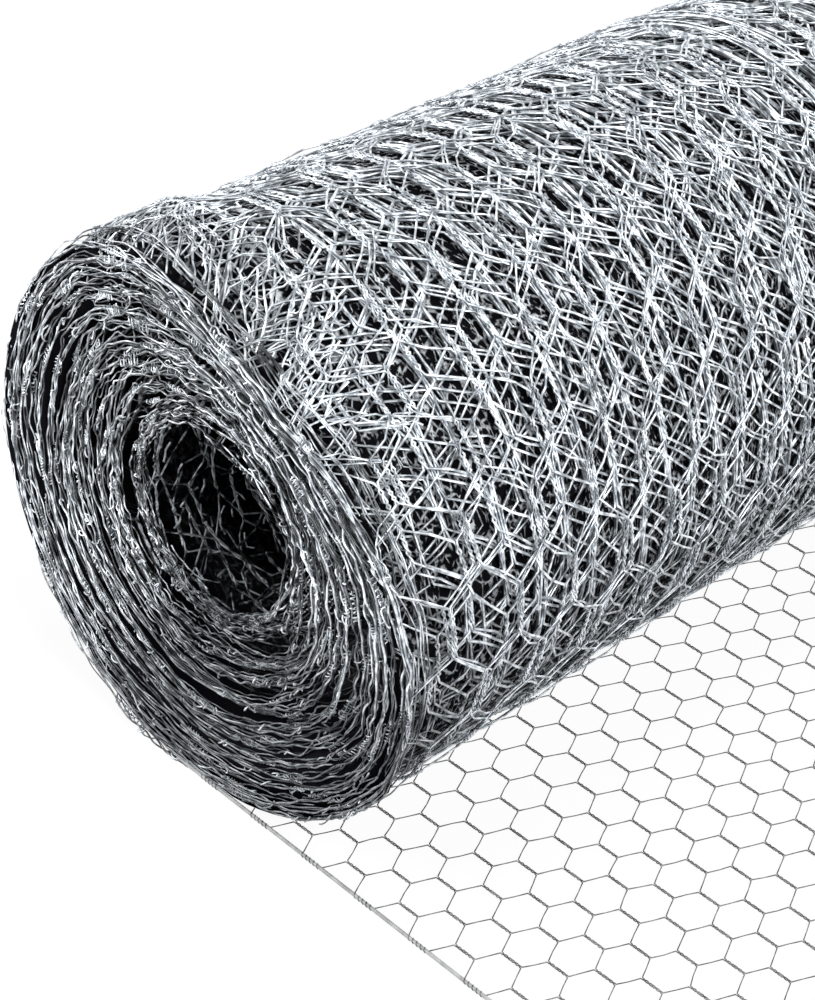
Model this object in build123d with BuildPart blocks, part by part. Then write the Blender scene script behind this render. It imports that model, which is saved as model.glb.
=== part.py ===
"""A roll of galvanised hexagonal wire netting, lying on its side.

The roll is a turned solid with its bore, and its turns show as ridges on both ends.
The free end of the netting runs out from under the roll and lies flat on the floor:
a fused sheet of six-sided cells, made in three bands that meet in the middle of a row of twists.
Millimetres, +X along the roll, +Z up, the flat netting towards -Y, the floor at Z = 0.
"""
import math
import os

from build123d import *

# Driving dimensions of the roll
netting_width = 500.0
roll_diameter = 200.0
bore_diameter = 64.0
shown_turns = 6
turn_relief = 4.0

# Driving dimensions of the netting
wire_diameter = 0.8
half_columns = 57
row_pitch = 12.17
twist_length = 8.7
row_count = 16

# Where the flat netting lies, measured from the line on which the roll touches the floor
first_row_from_contact = 22.2
rows_at_joins = (5, 10)

# Sizes that follow from them
roll_radius = roll_diameter / 2
bore_radius = bore_diameter / 2
turn_pitch = (roll_radius - bore_radius) / shown_turns
column_pitch = netting_width / half_columns
twist_width = 2 * wire_diameter
selvage_width = 3 * wire_diameter
sheet_thickness = 2 * wire_diameter
sheet_reach = first_row_from_contact + (row_count - 1) * row_pitch
# The flat wires start where their upper side meets the roll's outer turn
sheet_start_from_contact = math.sqrt(sheet_thickness * (roll_diameter - sheet_thickness))

# The origin is on the floor, under the middle of the whole object
roll_y = (sheet_reach - roll_radius) / 2
roll_axis = Axis((0, roll_y, roll_radius), (1, 0, 0))


def row_y(row):
    """Middle of the twists of a row, counted from the roll outwards."""
    return roll_y - first_row_from_contact - row * row_pitch


def column_x(column):
    """Centre line of a column of twists, counted from the near edge of the netting."""
    return -netting_width / 2 + column * column_pitch


def end_profile(end_x, inward):
    """Ridges of one end, from the bore to the rim: a crest at each turn and a valley between turns."""
    points = [(end_x, bore_radius)]
    for turn in range(shown_turns):
        inner_crest = bore_radius + turn * turn_pitch
        points.append((end_x + inward * turn_relief, inner_crest + turn_pitch / 2))
        points.append((end_x, inner_crest + turn_pitch))
    return points


def cell_corners():
    """Corners of the hole of one cell: two sides along the twists, four along the single wires."""
    half_twist = twist_length / 2
    apex_y = row_pitch - half_twist
    slope = math.atan2(apex_y - half_twist, column_pitch)
    hole_apex_y = apex_y - wire_diameter / 2 / math.cos(slope)
    side_x = column_pitch - twist_width / 2
    side_y = hole_apex_y - side_x * math.tan(slope)
    return [
        (0, hole_apex_y),
        (-side_x, side_y),
        (-side_x, -side_y),
        (0, -hole_apex_y),
        (side_x, -side_y),
        (side_x, side_y),
    ]


def cell_centres(first_row, last_row):
    """Cells lie where a row has no twist, so they alternate from one row to the next."""
    return [
        (column_x(column), row_y(row))
        for row in range(first_row, last_row + 1)
        for column in range(half_columns + 1)
        if (column + row) % 2 == 0
    ]


def netting_band(start_y, end_y, first_row, last_row):
    """Outline of one band: a strip with its cells cut out and a selvage along each edge."""
    middle_y = (start_y + end_y) / 2
    band_length = start_y - end_y
    with BuildSketch(Plane.XY) as band:
        with Locations((0, middle_y)):
            Rectangle(netting_width, band_length)
        with Locations(*cell_centres(first_row, last_row)):
            Polygon(*cell_corners(), align=None, mode=Mode.SUBTRACT)
        edge_x = (netting_width - selvage_width) / 2
        with Locations((-edge_x, middle_y), (edge_x, middle_y)):
            Rectangle(selvage_width, band_length)
    return band.sketch


# The wound netting, turned about the bore
near_end = end_profile(-netting_width / 2, 1)
far_end = end_profile(netting_width / 2, -1)
section_plane = Plane(origin=roll_axis.position, x_dir=(1, 0, 0), z_dir=(0, -1, 0))
with BuildPart() as wound_roll:
    with BuildSketch(section_plane):
        Polygon(*near_end, *reversed(far_end), align=None)
    revolve(axis=roll_axis)
wound_roll.part.label = "wound_roll"

# The flat netting, band by band from the roll outwards
sheet_start_y = roll_y - sheet_start_from_contact
inner_join_y, outer_join_y = (row_y(row) for row in rows_at_joins)
inner_join_row, outer_join_row = rows_at_joins
sheet_end_y = row_y(row_count - 1)

with BuildPart() as flat_netting_inner:
    add(netting_band(sheet_start_y, inner_join_y, 0, inner_join_row))
    extrude(amount=sheet_thickness)
flat_netting_inner.part.label = "flat_netting_inner"

with BuildPart() as flat_netting_middle:
    add(netting_band(inner_join_y, outer_join_y, inner_join_row, outer_join_row))
    extrude(amount=sheet_thickness)
flat_netting_middle.part.label = "flat_netting_middle"

with BuildPart() as flat_netting_outer:
    add(netting_band(outer_join_y, sheet_end_y, outer_join_row, row_count - 1))
    extrude(amount=sheet_thickness)
flat_netting_outer.part.label = "flat_netting_outer"

os.makedirs("parts", exist_ok=True)
export_step(wound_roll.part, "parts/wound_roll.step")
export_step(flat_netting_inner.part, "parts/flat_netting_inner.step")
export_step(flat_netting_middle.part, "parts/flat_netting_middle.step")
export_step(flat_netting_outer.part, "parts/flat_netting_outer.step")
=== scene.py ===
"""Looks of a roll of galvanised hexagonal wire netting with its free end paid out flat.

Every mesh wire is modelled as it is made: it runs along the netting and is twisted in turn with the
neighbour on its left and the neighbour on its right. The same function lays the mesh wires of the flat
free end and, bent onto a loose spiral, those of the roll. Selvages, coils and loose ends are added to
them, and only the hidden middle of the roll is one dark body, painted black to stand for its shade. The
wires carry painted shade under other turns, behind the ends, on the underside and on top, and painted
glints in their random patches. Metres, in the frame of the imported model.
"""

import math

import bpy
import numpy as np
from mathutils import Matrix, Vector


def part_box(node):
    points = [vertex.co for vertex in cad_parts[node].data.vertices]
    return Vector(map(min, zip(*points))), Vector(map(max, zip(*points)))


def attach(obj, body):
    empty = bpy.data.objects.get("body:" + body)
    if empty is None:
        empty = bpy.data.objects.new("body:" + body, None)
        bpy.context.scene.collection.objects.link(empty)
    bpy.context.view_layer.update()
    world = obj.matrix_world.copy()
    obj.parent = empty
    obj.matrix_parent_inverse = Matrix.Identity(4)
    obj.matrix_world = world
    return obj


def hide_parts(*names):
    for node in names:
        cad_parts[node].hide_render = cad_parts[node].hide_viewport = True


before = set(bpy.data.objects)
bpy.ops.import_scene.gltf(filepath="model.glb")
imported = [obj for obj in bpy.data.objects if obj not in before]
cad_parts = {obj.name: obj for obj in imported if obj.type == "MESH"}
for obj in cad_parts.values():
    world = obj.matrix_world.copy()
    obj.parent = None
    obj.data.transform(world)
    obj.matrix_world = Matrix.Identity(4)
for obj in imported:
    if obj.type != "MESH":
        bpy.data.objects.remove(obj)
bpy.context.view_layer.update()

MM = 0.001
rng = np.random.default_rng(41)

# The roll, from the frame
roll_low, roll_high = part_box("wound_roll")
near_x = roll_low[0]
far_x = roll_high[0]
netting_width = far_x - near_x
roll_radius = (roll_high[2] - roll_low[2]) / 2
roll_y = (roll_high[1] + roll_low[1]) / 2
roll_z = roll_low[2] + roll_radius

# Netting on the roll
roll_wire_radius = 0.41 * MM
under_wire_radius = 0.52 * MM
bore_wire_radius = 0.42 * MM
selvage_wire_radius = 0.36 * MM
thin_selvage_radius = 0.24 * MM
end_wire_radius = 0.3 * MM
wrap_wire_radius = 0.25 * MM
wrap_reach = 0.65 * MM
wrap_length = 11.5 * MM
edge_inset = 1.2 * MM
roll_wire_count = 40
roll_column_pitch = netting_width / roll_wire_count
roll_twist_length = 18.5 * MM
roll_row_pitch = 28.2 * MM
rows_in_nested_turn = 22
turns_in_nest = 4
row_slip_in_nest = 1.0032
row_slip_between_nests = 1.05
turn_count = 26
full_outer_turns = 11
full_inner_turns = 4
wires_in_end_zone = 3
middle_wire_places = (247.0 * MM, 259.0 * MM)

# Twists: number of points along one, and how often its two wires turn round each other
fine_twist = (17, 2.25)
middling_twist = (11, 1.5)
plain_twist = (4, 0.5)
end_twist = (6, 0.75)
bore_twist = (7, 1.0)
flat_twist = (11, 1.25)
edge_twist_share = 0.6

# Unevenness, as across, along and lift: of the places of the twists, and of the wire between two twists
twist_scatter = (0.8 * MM, 0.006, 0.4 * MM)
wire_bend = np.array((0.8 * MM, 0.008, 0.5 * MM))
bore_disorder = (2.2, 7.0, 2.6)
flat_scatter = (0.12 * MM, 0.12 * MM, 0.0)
flat_bend = (0.1 * MM, 0.1 * MM, 0.0)

# Slow unevenness of the wound netting: pulls on it, and the drift of its edges from turn to turn
pull_along = 0.012
pull_places = (0.0, 25.0 * MM)
pull_sizes = (0.6 * MM, 3.0 * MM)
drift_turns = (0.0, 0.2, 4.0)
drift_sizes = (0.0, 0.5 * MM, 1.0 * MM)
outer_sag = 0.35 * MM
inner_sag = 1.35 * MM
floor_gap = 0.4 * MM

# Radius of the netting along most of the roll, in mm, by the number of turns from the outside
spiral_turns = (0.0, 11.0, 15.0, 21.0, 24.0, 26.0)
spiral_radii = (98.8, 93.5, 79.0, 57.0, 42.0, 33.0)

# The near end is pressed in at the top: radius of its outer turn, in mm, by the angle round the roll
# in degrees from the floor, how far along the roll that reaches, and the bulge beside it
rim_angles = (0.0, 25.0, 120.0, 135.0, 158.0, 181.0, 205.0, 235.0, 257.0, 281.0, 300.0, 335.0, 360.0)
rim_radii = (102.0, 100.6, 100.4, 99.0, 87.5, 76.0, 69.0, 76.5, 86.5, 95.5, 101.4, 102.2, 102.0)
shoulder_lengths = (25.0, 22.0, 18.0, 15.0, 18.0, 50.0, 75.0, 75.0, 60.0, 40.0, 25.0, 25.0, 25.0)
bulge_height = 4.6
bulge_angle = 148.0
bulge_spread = 22.0
bulge_places = (0.0, 8.0, 24.0, 50.0)
bulge_shares = (0.3, 0.9, 1.0, 0.0)
pressed_angle = math.radians(232.0)
core_radius = 31.0
core_shift_y = -3.6
core_shift_z = 7.7

# How the turns share the room between that outer turn and the bore, in loose groups
group_turns = (0.0, 11.0, 12.0, 17.0, 18.0, 22.0, 23.0, 26.0)
group_shares = (0.0, 0.38, 0.42, 0.6, 0.65, 0.81, 0.88, 1.0)

# Painted shade on the wires: by turns from the outside, by distance from an end, on the underside and on
# top
side_turns = (0.0, 3.0, 6.0, 11.0, 13.0)
side_painted_shade = (0.28, 0.12, 0.0, 0.3, 1.0)
end_places = (0.6 * MM, 1.6 * MM, 10.0 * MM, 22.0 * MM)
end_painted_shade = (0.0, 0.85, 1.0, 0.0)
bore_relief = 0.55
underside_angle = -0.5
underside_painted_shade = 0.76
underside_reach = 30.0 * MM
top_angle = 2.55
top_painted_shade = 0.42
top_places = (4.0 * MM, 26.0 * MM)
top_shares = (1.0, 0.45)
patch_step = 0.005
patch_strength = 0.55
most_patch_shade = 0.92

# Loose wires: how many there are
rim_wire_count = 28
hook_count = 850
shoulder_wire_count = 115
bore_wire_count = 210

# Netting of the flat free end
flat_wire_radius = 0.26 * MM
flat_single_radius = 0.2 * MM
flat_selvage_radius = 0.68 * MM
flat_wrap_radius = 0.2 * MM
flat_wrap_turns = 5
flat_wire_count = 57
flat_column_pitch = netting_width / flat_wire_count
flat_row_pitch = 12.17 * MM
flat_twist_length = 8.7 * MM
flat_first_row = -2.14 * MM
flat_row_count = 18
flat_lift = 0.95 * MM

# Camera, and the photograph's frame
camera_place = Vector((-0.70699, -0.41320, 0.60493))
camera_aim = Vector((-0.18609, 0.02473, 0.1))
camera_roll = math.radians(6.84)
camera_lens = 93.9
camera_sensor = 36.0


def slow_noise(knot_step):
    """A smooth uneven line over all the turns, about one in size."""
    knots = np.arange(-0.5, turn_count + 0.5, knot_step) * math.tau
    bell = np.hanning(9)
    rough = rng.normal(size=len(knots) + len(bell) - 1)
    smooth = np.convolve(rough, bell / np.linalg.norm(bell), "valid")
    return lambda angle: np.interp(angle, knots, smooth)


turn_sag = slow_noise(0.02)
near_edge_drift = slow_noise(0.03)
far_edge_drift = slow_noise(0.03)
pulls_across = [slow_noise(0.03) for place in range(6)]
pulls_along = [slow_noise(0.03) for place in range(6)]


def radius_at(level, angle, across):
    """Distance of the netting from the roll's axis: level is a number of turns from the outside."""
    along_roll = np.interp(level, spiral_turns, spiral_radii)
    degrees = np.degrees(angle) % 360.0
    rim = np.interp(degrees, rim_angles, rim_radii)
    length = np.interp(degrees, rim_angles, shoulder_lengths) * MM
    core = core_radius + core_shift_y * np.sin(angle) - core_shift_z * np.cos(angle)
    at_end = rim + (core - rim) * np.interp(level, group_turns, group_shares)
    shoulder = np.clip(1.0 - across / length, 0.0, 1.0) ** 2
    bulge = bulge_height * np.exp(-((degrees - bulge_angle) / bulge_spread) ** 2)
    bulge = bulge * np.interp(across / MM, bulge_places, bulge_shares)
    return (along_roll + (at_end - along_roll) * shoulder + bulge) * MM


def above_floor(radius, angle):
    """Keeps the netting from going through the floor that it lies on."""
    room = (roll_z - floor_gap) / np.maximum(np.cos(angle), 0.1)
    return np.minimum(radius, room)


def row_angles():
    """Angles of all the rows of twists.

    The outer turns nest in groups, each turn a little behind the last.
    """
    angles = [0.0]
    while angles[-1] < turn_count * math.tau:
        level = angles[-1] / math.tau
        if level < full_outer_turns:
            at_nest_end = level % turns_in_nest > turns_in_nest - 0.5
            slip = row_slip_between_nests if at_nest_end else row_slip_in_nest
            step = slip * math.tau / rows_in_nested_turn
        else:
            step = roll_row_pitch / (np.interp(level, spiral_turns, spiral_radii) * MM)
        angles.append(angles[-1] + step)
    return np.array(angles)


def lay_wires(wires, parity, row_places, twist_half, column_pitch, reach, jitter, bend, twist):
    """Middle lines of netting wires as (across, along, lift), one row of points for each wire.

    A wire swings between two columns. In each row it is twisted with the neighbour that comes to the
    same column: first one way round, then back, so it leaves on the side that it came from.
    """
    twist_points, turns = twist
    wires = np.asarray(wires)
    row_numbers = np.arange(len(row_places))
    at_left = (wires[:, None] + row_numbers[None, :] + parity) % 2 == 1
    column = np.where(at_left, wires[:, None], wires[:, None] + 1)
    side = np.where(at_left, 1.0, -1.0)
    shift = jitter[column, row_numbers[None, :]]
    share = np.linspace(0.0, 1.0, twist_points)
    own_turns = turns * np.where(reach != np.median(reach), edge_twist_share, 1.0)
    phase = math.tau * own_turns[column][..., None] * (1.0 - np.abs(2.0 * share - 1.0))
    offset = (side * reach[column])[..., None]
    across = (column * column_pitch + shift[..., 0])[..., None] + offset * np.cos(phase)
    half = np.asarray(twist_half)[None, :, None]
    along = (row_places + shift[..., 1])[..., None] + (2.0 * share - 1.0) * half
    lift = shift[..., 2][..., None] + offset * np.sin(phase)
    twists = np.stack([across, along, lift], axis=-1)
    between = (twists[:, :-1, -1] + twists[:, 1:, 0]) / 2
    between += rng.normal(size=between.shape) * np.asarray(bend)
    rowed = np.concatenate([twists[:, :-1], between[:, :, None]], axis=2)
    body = rowed.reshape(len(wires), -1, 3)
    return np.concatenate([body, twists[:, -1]], axis=1)


def twist_reach(wire_count, inside, at_edges):
    """How far a wire stands from the middle of its twist, with another reach at the edges."""
    reach = np.full(wire_count + 1, inside)
    reach[0] = at_edges
    reach[-1] = at_edges
    return reach


def pull(share, angle, lines):
    """An uneven pull on the netting, from lines that each act at their own place across it."""
    place = share * (len(lines) - 1)
    return sum(
        np.clip(1.0 - np.abs(place - number), 0.0, 1.0) * line(angle) for number, line in enumerate(lines)
    )


def facing(angle, direction, edge, blend):
    """1 where the roll faces a direction, fading to 0 away from it."""
    return np.clip((np.cos(angle - direction) - edge) / blend, 0.0, 1.0)


def painted_shade_at(level, angle, to_end):
    """Painted shade on a wire, from 0 to 1: under or between other turns, behind the ends, on the underside
    and on top, less in the bore, and a little on the outer turns against the lamps' light.
    """
    from_side = np.interp(level, side_turns, side_painted_shade) * np.clip(to_end / (3.0 * MM), 0.0, 1.0)
    from_end = np.clip((level - 5.0) / 4.0, 0.0, 1.0) * np.interp(to_end, end_places, end_painted_shade)
    in_bore = np.clip(level - (turn_count - 5.0), 0.0, 1.0)
    inside = np.maximum(from_side, from_end) * (1.0 - bore_relief * in_bore)
    under_others = 0.2 + 0.6 * np.clip((level - 1.0) / 3.0, 0.0, 1.0)
    along_roll = np.clip(to_end / underside_reach, 0.0, 1.0)
    underside = underside_painted_shade * facing(angle, underside_angle, 0.2, 0.6)
    underside = underside * (1.0 - (1.0 - under_others) * along_roll)
    on_top = top_painted_shade * facing(angle, top_angle, 0.5, 0.4) * np.clip(0.6 + level / 3.0, 0.0, 1.0)
    on_top = on_top * np.interp(to_end, top_places, top_shares)
    return 1.0 - (1.0 - np.maximum(inside, underside)) * (1.0 - on_top)


def wind(paths, slip=0.0):
    """Bends flat paths, whose along is an angle, onto the spiral.

    Slip is the part of a turn by which the paths lie deeper than the netting. Returns the points, the
    outward directions and the painted shade, by which the wire's colour is darkened to stand for shade.
    """
    share = paths[..., 0] / netting_width
    to_end = np.minimum(paths[..., 0], netting_width - paths[..., 0])
    angle = paths[..., 1] + pull_along * pull(share, paths[..., 1], pulls_along)
    pull_size = np.interp(to_end, pull_places, pull_sizes)
    across = paths[..., 0] + pull_size * pull(share, angle, pulls_across)
    level = np.clip(angle / math.tau + slip, 0.0, turn_count)
    outward = np.stack([np.zeros_like(angle), np.sin(angle), -np.cos(angle)], axis=-1)
    looseness = np.clip((level - full_outer_turns) / 10.0, 0.0, 1.0)
    sag = turn_sag(angle) * (outer_sag + (inner_sag - outer_sag) * looseness)
    radius = above_floor(radius_at(level, angle, across) + sag + paths[..., 2], angle)
    drift = (1.0 - share) * near_edge_drift(angle) + share * far_edge_drift(angle)
    points = outward * radius[..., None]
    points[..., 0] += near_x + across + np.interp(level, drift_turns, drift_sizes) * drift
    points[..., 1] += roll_y
    points[..., 2] += roll_z
    return points, outward, painted_shade_at(level, angle, to_end)


def wind_with_patchy_shade(paths, slip=0.0, base_shade=0.15):
    """Winds wires with painted shade that changes at random along them, from a base shade: darker
    stretches, and lighter ones that stand for glints.
    """
    points, outward, painted_shade = wind(paths, slip)
    patch_noise = slow_noise(patch_step)
    patchy_shade = np.clip(base_shade + patch_strength * patch_noise(paths[..., 1]), 0.0, most_patch_shade)
    return points, outward, 1.0 - (1.0 - painted_shade) * (1.0 - patchy_shade)


def paint_light_where_open(paths, painted_shade):
    """Takes most of the painted shade off what stands out of the ends, as painted light, and leaves more on
    the underside.
    """
    return painted_shade * (0.25 + 0.55 * facing(paths[..., 1], underside_angle, 0.1, 0.4))


def tube_mesh(name, groups):
    """One mesh of wires. A group holds points, outward directions, painted shade, radii and number of
    sides.
    """
    all_points = []
    all_faces = []
    all_painted_shades = []
    count = 0
    for points, outward, painted_shade, radius, sides in groups:
        wires, length = points.shape[:2]
        tangent = np.gradient(points, axis=1)
        across = np.cross(tangent, outward)
        across /= np.linalg.norm(across, axis=-1, keepdims=True) + 1e-12
        up = np.cross(across, tangent)
        up /= np.linalg.norm(up, axis=-1, keepdims=True) + 1e-12
        turn = np.arange(sides) * math.tau / sides + math.pi / 4
        thickness = np.broadcast_to(radius, (wires, length))[:, :, None, None]
        ring = points[:, :, None, :] + thickness * (
            np.cos(turn)[None, None, :, None] * across[:, :, None, :]
            + np.sin(turn)[None, None, :, None] * up[:, :, None, :]
        )
        index = count + np.arange(wires * length * sides).reshape(wires, length, sides)
        here = index[:, :-1]
        there = index[:, 1:]
        faces = np.stack([here, np.roll(here, -1, axis=2), np.roll(there, -1, axis=2), there], axis=-1)
        all_points.append(ring.reshape(-1, 3))
        all_faces.append(faces.reshape(-1, 4))
        all_painted_shades.append(np.repeat(painted_shade.ravel(), sides))
        count += wires * length * sides
    return mesh_from_arrays(
        name, np.concatenate(all_points), np.concatenate(all_faces), np.concatenate(all_painted_shades)
    )


def mesh_from_arrays(name, points, faces, painted_shades):
    """A smooth mesh object of four-sided faces, with the painted shade of each point for its material."""
    mesh = bpy.data.meshes.new(name)
    mesh.vertices.add(len(points))
    mesh.vertices.foreach_set("co", points.astype(np.float32).ravel())
    mesh.loops.add(faces.size)
    mesh.loops.foreach_set("vertex_index", faces.astype(np.int32).ravel())
    mesh.polygons.add(len(faces))
    mesh.polygons.foreach_set("loop_start", np.arange(0, faces.size, 4, dtype=np.int32))
    mesh.polygons.foreach_set("use_smooth", np.ones(len(faces), dtype=bool))
    mesh.update(calc_edges=True)
    layer = mesh.attributes.new("painted_shade", "FLOAT", "POINT")
    layer.data.foreach_set("value", painted_shades.astype(np.float32))
    piece = bpy.data.objects.new(name, mesh)
    bpy.context.scene.collection.objects.link(piece)
    return piece


def dress(piece, material, *nodes):
    """Gives a piece its material, its body and the nodes that it stands for."""
    piece.data.materials.append(material)
    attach(piece, "root")
    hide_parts(*nodes)


def scatter(columns, rows, sizes):
    """Small uneven places of the twists, the same for both wires of a twist."""
    return rng.normal(size=(columns, rows, 3)) * np.array(sizes)


# The flat free end


def flat_points(paths):
    """Lays flat paths on the floor, running out from the line on which the roll rests."""
    points = np.empty_like(paths)
    points[..., 0] = near_x + paths[..., 0]
    points[..., 1] = roll_y - paths[..., 1]
    points[..., 2] = flat_lift + paths[..., 2]
    outward = np.zeros_like(points)
    outward[..., 2] = 1.0
    return points, outward, np.zeros(points.shape[:2])


def make_flat_netting(material):
    """The free end: mesh wires, thinner between their twists, which go on under the roll."""
    row_places = flat_first_row + flat_row_pitch * np.arange(flat_row_count)
    jitter = scatter(flat_wire_count + 1, flat_row_count, flat_scatter)
    half = np.full(flat_row_count, flat_twist_length / 2)
    paths = lay_wires(
        np.arange(flat_wire_count), 0, row_places, half, flat_column_pitch,
        twist_reach(flat_wire_count, 1.4 * flat_wire_radius, 0.3 * flat_selvage_radius),
        jitter, flat_bend, flat_twist
    )
    twisted = np.full(flat_twist[0], flat_wire_radius)
    row_radii = np.append(twisted, flat_single_radius)
    radii = np.append(np.tile(row_radii, flat_row_count - 1), twisted)
    piece = tube_mesh("flat_netting", [(*flat_points(paths), radii, 3)])
    dress(piece, material, "flat_netting_inner", "flat_netting_middle", "flat_netting_outer")


def make_flat_selvages(material):
    """The thicker wire along each edge of the free end."""
    last_row = flat_first_row + flat_row_pitch * (flat_row_count - 1)
    along = np.linspace(flat_first_row - 4.0 * MM, last_row + flat_twist_length / 2, 4)
    edges = np.zeros((2, len(along), 3))
    edges[1, :, 0] = netting_width
    edges[:, :, 1] = along
    piece = tube_mesh("flat_selvages", [(*flat_points(edges), flat_selvage_radius, 6)])
    dress(piece, material, "flat_netting_inner", "flat_netting_middle", "flat_netting_outer")


def make_flat_edge_wraps(material):
    """Coils where the last mesh wire of the free end is wound round the selvage, in every other row."""
    share = np.linspace(0.0, 1.0, 6 * flat_wrap_turns + 1)
    phase = math.tau * flat_wrap_turns * share
    reach = flat_selvage_radius + 0.3 * flat_wrap_radius
    coils = []
    for place, first_row in ((0.0, 1), (netting_width, 0)):
        for row in range(first_row, flat_row_count, 2):
            line = np.zeros((len(share), 3))
            line[:, 0] = place + reach * np.cos(phase)
            line[:, 1] = flat_first_row + flat_row_pitch * row + flat_twist_length * (share - 0.5)
            line[:, 2] = reach * np.sin(phase)
            coils.append(line)
    piece = tube_mesh("flat_edge_wraps", [(*flat_points(np.array(coils)), flat_wrap_radius, 3)])
    dress(piece, material, "flat_netting_inner", "flat_netting_middle", "flat_netting_outer")


# The wound netting


def wound_mesh_wires(first_turn, last_turn, wires, wire_radius, twist, disorder=(1.0, 1.0, 1.0)):
    """Mesh wires of some turns of the roll, thinner towards its ends.

    Turns that follow each other share a row. Disorder makes the wires more uneven than most.
    """
    first = int(np.searchsorted(rows, first_turn * math.tau))
    last = int(np.searchsorted(rows, last_turn * math.tau)) + 1
    angles = rows[first:last]
    mean_radius = np.interp(angles / math.tau, spiral_turns, spiral_radii) * MM
    paths = lay_wires(
        wires, first % 2, angles, roll_twist_length / 2 / mean_radius, roll_column_pitch,
        twist_reach(roll_wire_count, wire_radius, 1.3 * end_wire_radius),
        row_scatter[:, first:last] * np.array(disorder), wire_bend * np.array(disorder), twist
    )
    paths[..., 0] = edge_inset + paths[..., 0] * (1.0 - 2.0 * edge_inset / netting_width)
    to_end = np.minimum(paths[..., 0], netting_width - paths[..., 0])
    radius_at_end = min(end_wire_radius, wire_radius)
    radii = np.interp(to_end, (2.0 * MM, 20.0 * MM), (radius_at_end, wire_radius))
    return *wind(paths), radii, 3


def wound_selvage(first_turn, last_turn):
    """A thick kinked wire along each edge of the netting, and thin ones sprung towards the next turn.

    Where the near end is pressed in, every other thick wire is thicker and painted lighter, and the rest
    are darkened with painted shade as though fallen back between them. Under the coils, a thick wire
    carries painted shade.
    """
    mean_radius = np.interp((first_turn + last_turn) / 2, spiral_turns, spiral_radii) * MM
    wrapped_rows = rows[1:-1:2]
    # A strand has its slip towards the next turn, inset, radius and painted shade
    thick = (0.0, 0.0, selvage_wire_radius, 0.2)
    thin = (0.36, 0.5 * MM, thin_selvage_radius, 0.45)
    thinner = (0.7, 0.9 * MM, thin_selvage_radius, 0.6)
    # An edge has its place, direction inward, step between points, spacing of kinks and strands
    near_edge = (0.0, 1.0, 2.1 * MM, 0.003, (thick, thin, thinner))
    far_edge = (netting_width, -1.0, 7.0 * MM, 0.006, (thick, thin))
    groups = []
    for place, inward, step, kink, strands in (near_edge, far_edge):
        count = int((last_turn - first_turn) * math.tau * mean_radius / step)
        angles = np.linspace(first_turn * math.tau, last_turn * math.tau, count)
        to_wrap = np.abs(angles[:, None] - wrapped_rows[None, :]).min(axis=1) * mean_radius
        pressed = facing(angles, pressed_angle, 0.4, 0.4) * (place == 0.0)
        stands_out = np.floor(angles / math.tau) % 2 == 0
        for slip, inset, wire_radius, base_shade in strands:
            own_across = slow_noise(kink)
            own_lift = slow_noise(kink)
            line = np.zeros((1, count, 3))
            line[..., 0] = place + inward * (inset + 0.45 * MM * own_across(angles))
            line[..., 1] = angles
            line[..., 2] = 0.5 * MM * (1.0 - 0.5 * pressed) * own_lift(angles)
            points, outward, painted_shade = wind_with_patchy_shade(line, slip, base_shade)
            if slip == 0.0:
                # Painted shade on the thick wire where a coil wraps it
                shade_under_wrap = np.maximum(painted_shade, 0.7 * (1.0 - pressed))
                painted_shade = np.where(to_wrap < wrap_length / 2, shade_under_wrap, painted_shade)
                bright = stands_out
            else:
                bright = np.zeros(count, dtype=bool)
            # Painted light on the wires that stand out at the pressed end, painted shade on the others
            shaded_between = np.maximum(painted_shade, 0.85 * pressed)
            painted_shade = np.where(bright, painted_shade * (1.0 - 0.6 * pressed), shaded_between)
            wire_radii = wire_radius * np.where(bright, 1.0 + 0.35 * pressed, 1.0)
            groups.append((points, outward, painted_shade, wire_radii, 3))
    return groups


def make_outer_turns(material):
    """The outer turns in full, with less detail in those that show only between the wires of others."""
    every_wire = np.arange(roll_wire_count)
    # A layer has its first and last turn and the detail of its twists
    layers = (
        (0, 1, fine_twist), (1, 2, fine_twist), (2, 3.5, middling_twist), (3.5, 5, middling_twist),
        (5, 8, plain_twist), (8, full_outer_turns, plain_twist)
    )
    for number, (first, last, twist) in enumerate(layers):
        wire_radius = roll_wire_radius if first < 3 else under_wire_radius
        groups = [wound_mesh_wires(first, last, every_wire, wire_radius, twist)]
        groups += wound_selvage(first, last)
        dress(tube_mesh(f"outer_turns_{number + 1}", groups), material, "wound_roll")


def make_rim_wires(material):
    """Selvage wires of the outer turns that have slipped apart along both rims."""
    share = np.linspace(0.0, 1.0, 90)
    lines = []
    for number in range(rim_wire_count):
        angles = (rng.uniform(0.0, 3.0) + rng.uniform(0.5, 1.0) * share) * math.tau
        own_across = slow_noise(0.0045)
        own_lift = slow_noise(0.0045)
        across = rng.uniform(0.0, 7.0) * MM + 0.5 * MM * own_across(angles)
        line = np.zeros((len(share), 3))
        line[:, 0] = across if number % 2 == 0 else netting_width - across
        line[:, 1] = angles
        line[:, 2] = rng.uniform(-0.7, 0.2) * MM + 0.4 * MM * own_lift(angles)
        lines.append(line)
    group = (*wind_with_patchy_shade(np.array(lines)), end_wire_radius, 3)
    dress(tube_mesh("rim_wires", [group]), material, "wound_roll")


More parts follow.
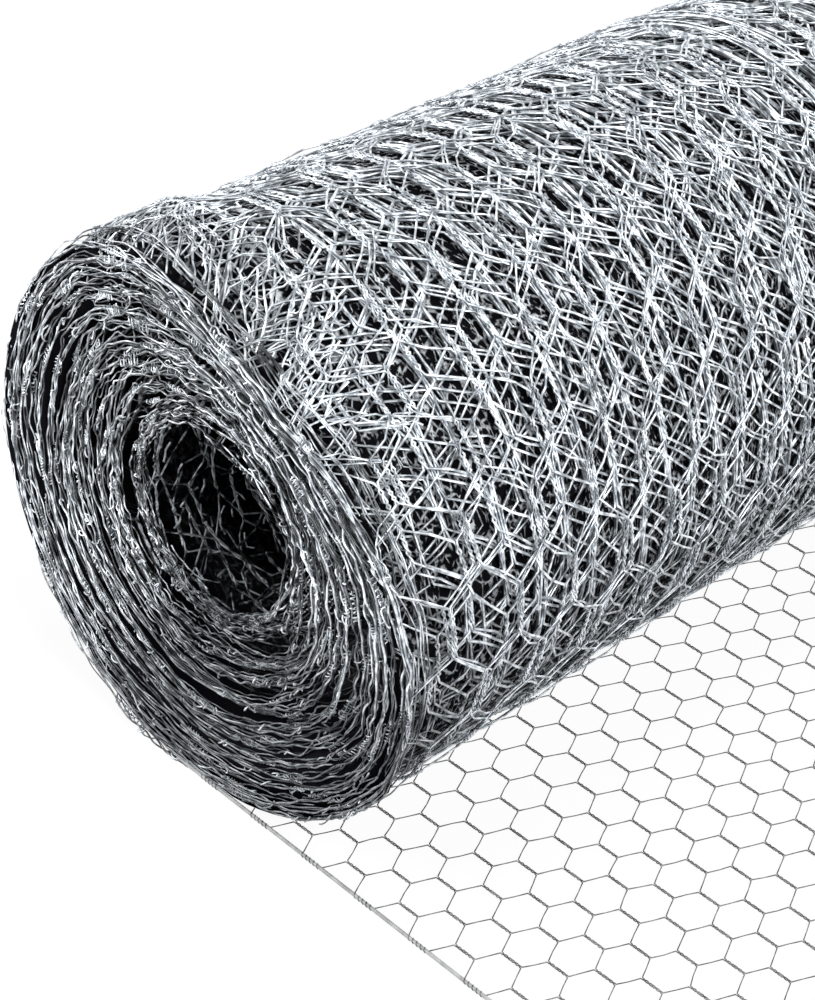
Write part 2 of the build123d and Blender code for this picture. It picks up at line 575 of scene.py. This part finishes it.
def make_edge_wraps(material):
    """Close coils where the last mesh wire is wound round the selvage, in every other row."""
    for name, place, inward, turns in (("near", 0.0, 1.0, 6), ("far", netting_width, -1.0, 4)):
        share = np.linspace(0.0, 1.0, 4 * turns + 1)
        coils = []
        for angle in rows[1:-1:2]:
            mean_radius = np.interp(angle / math.tau, spiral_turns, spiral_radii) * MM
            start = rng.uniform(0.0, math.tau)
            phase = math.tau * turns * share + start + rng.normal(size=len(share)) * 0.35
            reach = wrap_reach * rng.uniform(0.6, 1.5, len(share))
            line = np.zeros((len(share), 3))
            line[:, 0] = place + inward * (selvage_wire_radius + reach * np.cos(phase))
            line[:, 1] = angle + wrap_length * rng.uniform(0.6, 1.2) * (share - 0.5) / mean_radius
            line[:, 2] = reach * np.sin(phase)
            coils.append(line)
        paths = np.array(coils)
        points, outward, painted_shade = wind(paths)
        # Painted light on the coils where they stand out, more painted shade on the underside
        group = (points, outward, paint_light_where_open(paths, painted_shade), wrap_wire_radius, 3)
        dress(tube_mesh(f"{name}_edge_wraps", [group]), material, "wound_roll")


def make_middle_wires(material):
    """Two straight wires that stiffen the netting along its middle."""
    angles = np.linspace(0.0, 4.0 * math.tau, 420)
    lines = np.zeros((len(middle_wire_places), len(angles), 3))
    for number, place in enumerate(middle_wire_places):
        lines[number, :, 0] = place
        lines[number, :, 1] = angles
        lines[number, :, 2] = roll_wire_radius
    dress(tube_mesh("middle_wires", [(*wind(lines), roll_wire_radius, 3)]), material, "wound_roll")


def make_end_turns(material):
    """The turns between the outer and the inner ones, as far as they show at each end."""
    last_turn = turn_count - full_inner_turns
    near_wires = np.arange(wires_in_end_zone)
    far_wires = np.arange(roll_wire_count - wires_in_end_zone, roll_wire_count)
    for name, wires in (("near", near_wires), ("far", far_wires)):
        group = wound_mesh_wires(full_outer_turns, last_turn, wires, end_wire_radius, end_twist)
        dress(tube_mesh(f"{name}_end_turns", [group]), material, "wound_roll")
    selvages = wound_selvage(full_outer_turns, last_turn)
    dress(tube_mesh("end_selvages", selvages), material, "wound_roll")


def make_inner_turns(material):
    """The last turns, round the bore, in full."""
    first_turn = turn_count - full_inner_turns
    every_wire = np.arange(roll_wire_count)
    groups = [
        wound_mesh_wires(first_turn, turn_count, every_wire, bore_wire_radius, bore_twist, bore_disorder)
    ]
    groups += wound_selvage(first_turn, turn_count)
    dress(tube_mesh("bore_turns", groups), material, "wound_roll")


def make_loose_strands(material):
    """Selvage wires that have come away from the outer turn at the near end."""
    strands = []
    share = np.linspace(0.0, 1.0, 41)
    # Start and end in degrees, rise and place across in mm
    places = ((60.0, 102.0, 3.0, 0.4), (68.0, 94.0, 2.0, -0.8), (118.0, 168.0, 2.2, 0.0))
    for start, end, rise, across in places:
        line = np.zeros((len(share), 3))
        line[:, 0] = (across + 0.5 * np.sin(9.0 * share + start)) * MM
        line[:, 1] = np.radians(start + (end - start) * share)
        line[:, 2] = (rise * np.sin(math.pi * share) ** 2 + 0.25 * np.sin(23.0 * share)) * MM
        strands.append(line)
    group = (*wind(np.array(strands)), thin_selvage_radius, 3)
    dress(tube_mesh("loose_strands", [group]), material, "wound_roll")


def make_hooks(material):
    """Ends of wires bent over at the selvages."""
    hooks = []
    mean_radius = 70.0 * MM
    share = np.linspace(0.0, 1.0, 7)
    for number in range(hook_count):
        turn = rng.uniform(0.0, turn_count - 1.0)
        size = rng.uniform(0.8, 2.0) * MM
        sweep = rng.uniform(2.0, 4.5) * share + rng.uniform(0.0, math.tau)
        line = np.zeros((len(share), 3))
        edge = netting_width if number % 3 == 0 else 0.0
        line[:, 0] = edge + size * np.sin(sweep) * rng.uniform(0.4, 1.0)
        along = size * np.cos(sweep) + rng.uniform(-3.0, 3.0) * MM * share
        line[:, 1] = turn * math.tau + along / mean_radius
        line[:, 2] = size * np.cos(sweep + rng.uniform(0.0, 1.5)) * 0.6
        hooks.append(line)
    paths = np.array(hooks)
    points, outward, painted_shade = wind(paths)
    # Painted light on the hooks where they stand out, more painted shade on the underside
    group = (points, outward, paint_light_where_open(paths, painted_shade), end_wire_radius, 3)
    dress(tube_mesh("hooks", [group]), material, "wound_roll")


def bent_wires(count, point_count, starts, reaches, degrees, turns):
    """Short bent wires that lie across the netting.

    Their starts and reaches are ranges in mm, their angles in degrees, and their turns whole numbers.
    """
    share = np.linspace(0.0, 1.0, point_count)
    lines = []
    for number in range(count):
        start = rng.uniform(*starts) * MM
        reach = rng.uniform(*reaches) * MM
        angle = math.radians(rng.uniform(*degrees)) + math.tau * rng.integers(*turns)
        line = np.zeros((point_count, 3))
        line[:, 0] = start + reach * share + rng.normal(size=point_count) * 0.8 * MM
        lean = math.radians(rng.uniform(-14.0, 14.0))
        line[:, 1] = angle + lean * share + rng.normal(size=point_count) * 0.008
        line[:, 2] = rng.uniform(-1.0, 0.5) * MM + rng.normal(size=point_count) * 0.3 * MM
        lines.append(line)
    return np.array(lines)


def make_shoulder_wires(material):
    """Mesh wires that lie close together where the near end is pressed in at the top."""
    lines = bent_wires(shoulder_wire_count, 8, (1.0, 11.0), (12.0, 28.0), (118.0, 215.0), (1, 5))
    group = (*wind(lines), roll_wire_radius, 3)
    dress(tube_mesh("shoulder_wires", [group]), material, "wound_roll")


def make_bore_wires(material):
    """Short ends of mesh wires on the wall of the bore, in from the near end."""
    last_turns = (turn_count - 2, turn_count)
    lines = bent_wires(bore_wire_count, 4, (2.0, 80.0), (-4.0, 5.0), (0.0, 360.0), last_turns)
    points, outward, painted_shade = wind(lines)
    # Less painted shade on the short wires in the bore
    group = (points, outward, 0.6 * painted_shade, bore_wire_radius, 3)
    dress(tube_mesh("bore_wires", [group]), material, "wound_roll")


def make_hidden_turns(material):
    """The middle of the turns between, as one dark body painted black to stand for the shade behind the
    others, with a faint web of wires.

    Its brim stands close behind the wires of the near end, farther back where that end is pressed in.
    """
    outer_level = full_outer_turns + 0.4
    middle_level = 16.0
    inner_level = turn_count - 4.6
    deep = 34.0 * MM
    # Painted shade of the body in the bore
    bore_shade = 0.9
    segments = 96
    angle = np.arange(segments) * math.tau / segments
    brim_angles = np.radians((0.0, 85.0, 110.0, 140.0, 165.0, 270.0, 300.0, 360.0))
    face = np.interp(angle, brim_angles, (1.2, 1.2, 1.2, 2.5, 5.0, 5.0, 2.0, 1.2)) * MM
    brim = np.interp(angle, brim_angles, (0.0, 0.0, 0.0, 0.6, 6.0, 6.0, 0.8, 0.0))
    lip = np.interp(angle, brim_angles, (0.5, 0.5, 0.5, 0.3, 0.0, 0.0, 0.4, 0.5)) * MM
    swell = np.interp(angle, brim_angles, (0.0, 0.0, 3.0, 4.0, 3.0, 0.0, 0.0, 0.0)) * MM
    # Painted shade on the lower front of the body, towards the floor
    low_front_painted_shade = 0.45 * np.clip(np.cos(angle - math.radians(315.0)), 0.0, 1.0)
    # Each ring of the body has its place across, level in the turns, painted shade, and growth in radius
    near_end = [
        (deep, inner_level, bore_shade, 0.0),
        (deep, middle_level + 1.0, 1.0, 0.0),
        (13.0 * MM, middle_level, 1.0, 0.0),
        (face, 11.5, 1.0, 0.0),
        (face, brim, 1.0, lip),
        (face + 1.2 * MM, brim + 0.3, 0.8, 0.0),
        (face + 3.0 * MM, brim + 4.0, 0.4, 0.4 * swell),
        (13.0 * MM, outer_level, 0.2, swell),
        (24.0 * MM, outer_level, 0.0, swell),
        (45.0 * MM, outer_level, 0.0, 0.0)
    ]
    far_end = []
    for across, level, shade, grow in reversed(near_end):
        far_end.append((netting_width - across, level, shade, 0.0))
    along_places = (56.0 * MM, 75.0 * MM)
    along = [(across, outer_level, 0.0, 0.0) for across in along_places]
    bore = [(across, inner_level, bore_shade, 0.0) for across in reversed(along_places)]
    profile = near_end + along + far_end + bore
    rings = []
    shades = []
    for across, level, shade, grow in profile:
        shades.append(np.maximum(shade, low_front_painted_shade))
        radius = above_floor(radius_at(level, angle, across) + grow, angle)
        x = near_x + across + np.zeros(segments)
        y = roll_y + radius * np.sin(angle)
        z = roll_z - radius * np.cos(angle)
        rings.append(np.stack([x, y, z], axis=-1))
    here = np.arange(len(profile) * segments).reshape(len(profile), segments)
    there = np.roll(here, -1, axis=0)
    faces = np.stack([here, np.roll(here, -1, axis=1), np.roll(there, -1, axis=1), there], axis=-1)
    piece = mesh_from_arrays(
        "hidden_turns", np.concatenate(rings), faces.reshape(-1, 4), np.concatenate(shades)
    )
    dress(piece, material, "wound_roll")


# Materials


def new_material(name):
    """An empty node material with its output."""
    material = bpy.data.materials.new(name)
    material.use_nodes = True
    material.node_tree.nodes.clear()
    output = material.node_tree.nodes.new("ShaderNodeOutputMaterial")
    return material, material.node_tree, output


def zinc_and_glint_group():
    """Random patches of the galvanising's tone, which also serve as painted glints, and its fine grain, as
    values that change over the wire.
    """
    group = bpy.data.node_groups.new("zinc_coat_and_glints", "ShaderNodeTree")
    group.interface.new_socket("Patch Scale", in_out="INPUT", socket_type="NodeSocketFloat")
    group.interface.new_socket("Patches And Glints", in_out="OUTPUT", socket_type="NodeSocketFloat")
    group.interface.new_socket("Grain", in_out="OUTPUT", socket_type="NodeSocketFloat")
    enter = group.nodes.new("NodeGroupInput")
    leave = group.nodes.new("NodeGroupOutput")
    place = group.nodes.new("ShaderNodeTexCoord")
    patches_and_glints = group.nodes.new("ShaderNodeTexNoise")
    patches_and_glints.inputs["Detail"].default_value = 3.0
    grain = group.nodes.new("ShaderNodeTexNoise")
    grain.inputs["Scale"].default_value = 2600.0
    link = group.links.new
    link(place.outputs["Object"], patches_and_glints.inputs["Vector"])
    link(place.outputs["Object"], grain.inputs["Vector"])
    link(enter.outputs["Patch Scale"], patches_and_glints.inputs["Scale"])
    link(patches_and_glints.outputs["Fac"], leave.inputs["Patches And Glints"])
    link(grain.outputs["Fac"], leave.inputs["Grain"])
    return group


def wire_material(name, group, dark, light, roughness, metallic):
    """Galvanised wire: random patches of tone along each wire that also serve as painted glints, darkened
    by each point's painted shade, with a fine grain.
    """
    material, tree, output = new_material(name)
    coat = tree.nodes.new("ShaderNodeGroup")
    coat.node_tree = group
    coat.inputs["Patch Scale"].default_value = 300.0
    painted_shade = tree.nodes.new("ShaderNodeAttribute")
    painted_shade.attribute_name = "painted_shade"
    # Each point's painted shade darkens the colour of the wire.
    shade_factor = tree.nodes.new("ShaderNodeMapRange")
    shade_factor.inputs["To Min"].default_value = 1.0
    shade_factor.inputs["To Max"].default_value = 0.05
    shaded_tone = tree.nodes.new("ShaderNodeMix")
    shaded_tone.data_type = "RGBA"
    shaded_tone.blend_type = "MULTIPLY"
    shaded_tone.inputs["Factor"].default_value = 1.0
    # Patches run from dark to light: partly the coat's own uneven tone, partly painted glints.
    tone = tree.nodes.new("ShaderNodeValToRGB")
    tone.color_ramp.elements[0].position = 0.4
    tone.color_ramp.elements[0].color = (*dark, 1.0)
    tone.color_ramp.elements[1].position = 0.6
    tone.color_ramp.elements[1].color = (*light, 1.0)
    rough = tree.nodes.new("ShaderNodeMapRange")
    rough.inputs["To Min"].default_value = roughness - 0.1
    rough.inputs["To Max"].default_value = roughness + 0.1
    bump = tree.nodes.new("ShaderNodeBump")
    bump.inputs["Strength"].default_value = 0.25
    bump.inputs["Distance"].default_value = 0.05 * MM
    surface = tree.nodes.new("ShaderNodeBsdfPrincipled")
    surface.inputs["Metallic"].default_value = metallic
    surface.inputs["Specular IOR Level"].default_value = 0.1
    link = tree.links.new
    link(coat.outputs["Patches And Glints"], tone.inputs["Fac"])
    link(coat.outputs["Grain"], rough.inputs["Value"])
    link(coat.outputs["Grain"], bump.inputs["Height"])
    link(painted_shade.outputs["Fac"], shade_factor.inputs["Value"])
    link(tone.outputs["Color"], shaded_tone.inputs["A"])
    link(shade_factor.outputs["Result"], shaded_tone.inputs["B"])
    link(shaded_tone.outputs["Result"], surface.inputs["Base Color"])
    link(rough.outputs["Result"], surface.inputs["Roughness"])
    link(bump.outputs["Normal"], surface.inputs["Normal"])
    link(surface.outputs["BSDF"], output.inputs["Surface"])
    return material


def shade_material():
    """Painted shade for the mass of wires deep inside the roll: a broken web of two sizes of mesh on black,
    faded to black by each point's painted shade.
    """
    material, tree, output = new_material("shaded_wires")
    link = tree.links.new
    place = tree.nodes.new("ShaderNodeTexCoord")
    meshes = []
    line = 0.065
    for size, shift in ((105.0, 0.0), (160.0, 2.7)):
        stretch = tree.nodes.new("ShaderNodeMapping")
        stretch.inputs["Location"].default_value = (shift, shift, shift)
        stretch.inputs["Scale"].default_value = (2.2, 1.0, 1.0)
        cells = tree.nodes.new("ShaderNodeTexVoronoi")
        cells.feature = "DISTANCE_TO_EDGE"
        cells.inputs["Scale"].default_value = size
        wires = tree.nodes.new("ShaderNodeMapRange")
        wires.inputs["From Min"].default_value = 0.45 * line
        wires.inputs["From Max"].default_value = line
        wires.inputs["To Min"].default_value = 1.0
        wires.inputs["To Max"].default_value = 0.0
        link(place.outputs["Object"], stretch.inputs["Vector"])
        link(stretch.outputs["Vector"], cells.inputs["Vector"])
        link(cells.outputs["Distance"], wires.inputs["Value"])
        meshes.append(wires)
    web = tree.nodes.new("ShaderNodeMath")
    web.operation = "MAXIMUM"
    specks = tree.nodes.new("ShaderNodeTexNoise")
    specks.inputs["Scale"].default_value = 420.0
    gaps = tree.nodes.new("ShaderNodeMapRange")
    gaps.inputs["From Min"].default_value = 0.42
    gaps.inputs["From Max"].default_value = 0.6
    broken = tree.nodes.new("ShaderNodeMath")
    broken.operation = "MULTIPLY"
    painted_shade = tree.nodes.new("ShaderNodeAttribute")
    painted_shade.attribute_name = "painted_shade"
    shown = tree.nodes.new("ShaderNodeMapRange")
    shown.inputs["To Min"].default_value = 1.0
    shown.inputs["To Max"].default_value = 0.0
    faded = tree.nodes.new("ShaderNodeMath")
    faded.operation = "MULTIPLY"
    tone = tree.nodes.new("ShaderNodeValToRGB")
    # Black that stands for the painted shade between the web's wires.
    tone.color_ramp.elements[0].color = (0.004, 0.004, 0.005, 1.0)
    tone.color_ramp.elements[1].color = (0.42, 0.44, 0.46, 1.0)
    bump = tree.nodes.new("ShaderNodeBump")
    bump.inputs["Distance"].default_value = 0.4 * MM
    surface = tree.nodes.new("ShaderNodeBsdfPrincipled")
    surface.inputs["Roughness"].default_value = 0.8
    surface.inputs["Specular IOR Level"].default_value = 0.0
    link(meshes[0].outputs["Result"], web.inputs[0])
    link(meshes[1].outputs["Result"], web.inputs[1])
    link(painted_shade.outputs["Fac"], shown.inputs["Value"])
    link(place.outputs["Object"], specks.inputs["Vector"])
    link(specks.outputs["Fac"], gaps.inputs["Value"])
    link(web.outputs["Value"], broken.inputs[0])
    link(gaps.outputs["Result"], broken.inputs[1])
    link(broken.outputs["Value"], faded.inputs[0])
    link(shown.outputs["Result"], faded.inputs[1])
    link(faded.outputs["Value"], tone.inputs["Fac"])
    link(faded.outputs["Value"], bump.inputs["Height"])
    link(tone.outputs["Color"], surface.inputs["Base Color"])
    link(bump.outputs["Normal"], surface.inputs["Normal"])
    link(surface.outputs["BSDF"], output.inputs["Surface"])
    return material


# Studio


def seen_directly(tree):
    """A socket that is 1 for the camera, reflections and clear things, and 0 for the light on the roll."""
    rays = tree.nodes.new("ShaderNodeLightPath")
    seen = tree.nodes.new("ShaderNodeMath")
    seen.operation = "MAXIMUM"
    mirrored = tree.nodes.new("ShaderNodeMath")
    mirrored.operation = "MAXIMUM"
    link = tree.links.new
    link(rays.outputs["Is Camera Ray"], seen.inputs[0])
    link(rays.outputs["Is Glossy Ray"], seen.inputs[1])
    link(seen.outputs["Value"], mirrored.inputs[0])
    link(rays.outputs["Is Transmission Ray"], mirrored.inputs[1])
    return mirrored.outputs["Value"]


def make_floor():
    """A white floor that keeps a soft part of the shadow."""
    bpy.ops.mesh.primitive_plane_add(size=8.0, location=(0.0, 0.0, -0.1 * MM))
    floor = bpy.context.object
    floor.name = "floor"
    material, tree, output = new_material("floor_white")
    lit = tree.nodes.new("ShaderNodeBsdfDiffuse")
    lit.inputs["Color"].default_value = (0.6, 0.6, 0.6, 1.0)
    plain = tree.nodes.new("ShaderNodeEmission")
    share = tree.nodes.new("ShaderNodeMath")
    share.operation = "MULTIPLY"
    share.inputs[1].default_value = 0.93
    mix = tree.nodes.new("ShaderNodeMixShader")
    link = tree.links.new
    link(seen_directly(tree), share.inputs[0])
    link(share.outputs["Value"], mix.inputs["Fac"])
    link(lit.outputs["BSDF"], mix.inputs[1])
    link(plain.outputs["Emission"], mix.inputs[2])
    link(mix.outputs["Shader"], output.inputs["Surface"])
    floor.data.materials.append(material)


def make_world():
    """White all round for the camera and for reflections, and a softer fill light."""
    world = bpy.data.worlds.new("studio")
    bpy.context.scene.world = world
    world.use_nodes = True
    tree = world.node_tree
    tree.nodes.clear()
    output = tree.nodes.new("ShaderNodeOutputWorld")
    backdrop = tree.nodes.new("ShaderNodeBackground")
    backdrop.inputs["Color"].default_value = (1.0, 1.0, 1.0, 1.0)
    fill = tree.nodes.new("ShaderNodeBackground")
    fill.inputs["Color"].default_value = (1.0, 1.0, 1.0, 1.0)
    fill.inputs["Strength"].default_value = 0.22
    mix = tree.nodes.new("ShaderNodeMixShader")
    link = tree.links.new
    link(seen_directly(tree), mix.inputs["Fac"])
    link(fill.outputs["Background"], mix.inputs[1])
    link(backdrop.outputs["Background"], mix.inputs[2])
    link(mix.outputs["Shader"], output.inputs["Surface"])


def make_lamp(name, energy, size, place):
    """A soft square lamp that faces the middle of the roll."""
    lamp = bpy.data.lights.new(name, "AREA")
    lamp.energy = energy
    lamp.size = size
    light = bpy.data.objects.new(name, lamp)
    bpy.context.scene.collection.objects.link(light)
    light.location = place
    away = Vector(place) - Vector((0.0, 0.0, 0.1))
    light.rotation_euler = away.to_track_quat("Z", "Y").to_euler()


def make_camera():
    """The photograph's view: long lens, looking down along the roll's near end."""
    camera = bpy.data.cameras.new("camera")
    camera.lens = camera_lens
    camera.sensor_width = camera_sensor
    camera.clip_start = 0.01
    holder = bpy.data.objects.new("camera", camera)
    bpy.context.scene.collection.objects.link(holder)
    level = (camera_place - camera_aim).to_track_quat("Z", "Y").to_matrix().to_4x4()
    holder.matrix_world = Matrix.Translation(camera_place) @ level @ Matrix.Rotation(camera_roll, 4, "Z")
    bpy.context.scene.camera = holder


rows = row_angles()
row_scatter = scatter(roll_wire_count + 1, len(rows), twist_scatter)
coat_and_glints = zinc_and_glint_group()
roll_zinc = wire_material("roll_zinc", coat_and_glints, (0.285, 0.31, 0.337), (0.885, 0.932, 0.98), 0.34, 0.25)
# A copy of the roll's wire with a near-black dark end: painted shade, with light patches as painted glints,
# for the bore.
shaded_bore_zinc = wire_material("shaded_bore_zinc", coat_and_glints, (0.02, 0.022, 0.025), (0.82, 0.865, 0.91), 0.34, 0.25)
# Darker copies of the same wire for the flat end: painted shade against the lamps' light on it.
shaded_flat_zinc = wire_material("shaded_flat_zinc", coat_and_glints, (0.055, 0.057, 0.059), (0.14, 0.142, 0.145), 0.4, 0.25)
shaded_selvage_zinc = wire_material("shaded_selvage_zinc", coat_and_glints, (0.18, 0.182, 0.185), (0.25, 0.252, 0.255), 0.6, 0.05)
make_flat_netting(shaded_flat_zinc)
make_flat_selvages(shaded_selvage_zinc)
make_flat_edge_wraps(shaded_flat_zinc)
make_outer_turns(roll_zinc)
make_middle_wires(roll_zinc)
make_rim_wires(roll_zinc)
make_edge_wraps(roll_zinc)
make_end_turns(roll_zinc)
make_inner_turns(shaded_bore_zinc)
make_loose_strands(roll_zinc)
make_hooks(roll_zinc)
make_shoulder_wires(roll_zinc)
make_bore_wires(shaded_bore_zinc)
make_hidden_turns(shade_material())
make_floor()
make_world()
make_lamp("back_lamp", 33.5, 0.7, (0.95, 0.1, 1.45))
make_lamp("front_lamp", 39.5, 0.6, (-0.51, -1.14, 1.26))
make_lamp("end_lamp", 36.0, 0.6, (-1.15, 0.95, 0.6))
make_camera()
bpy.context.scene.view_settings.view_transform = "Standard"
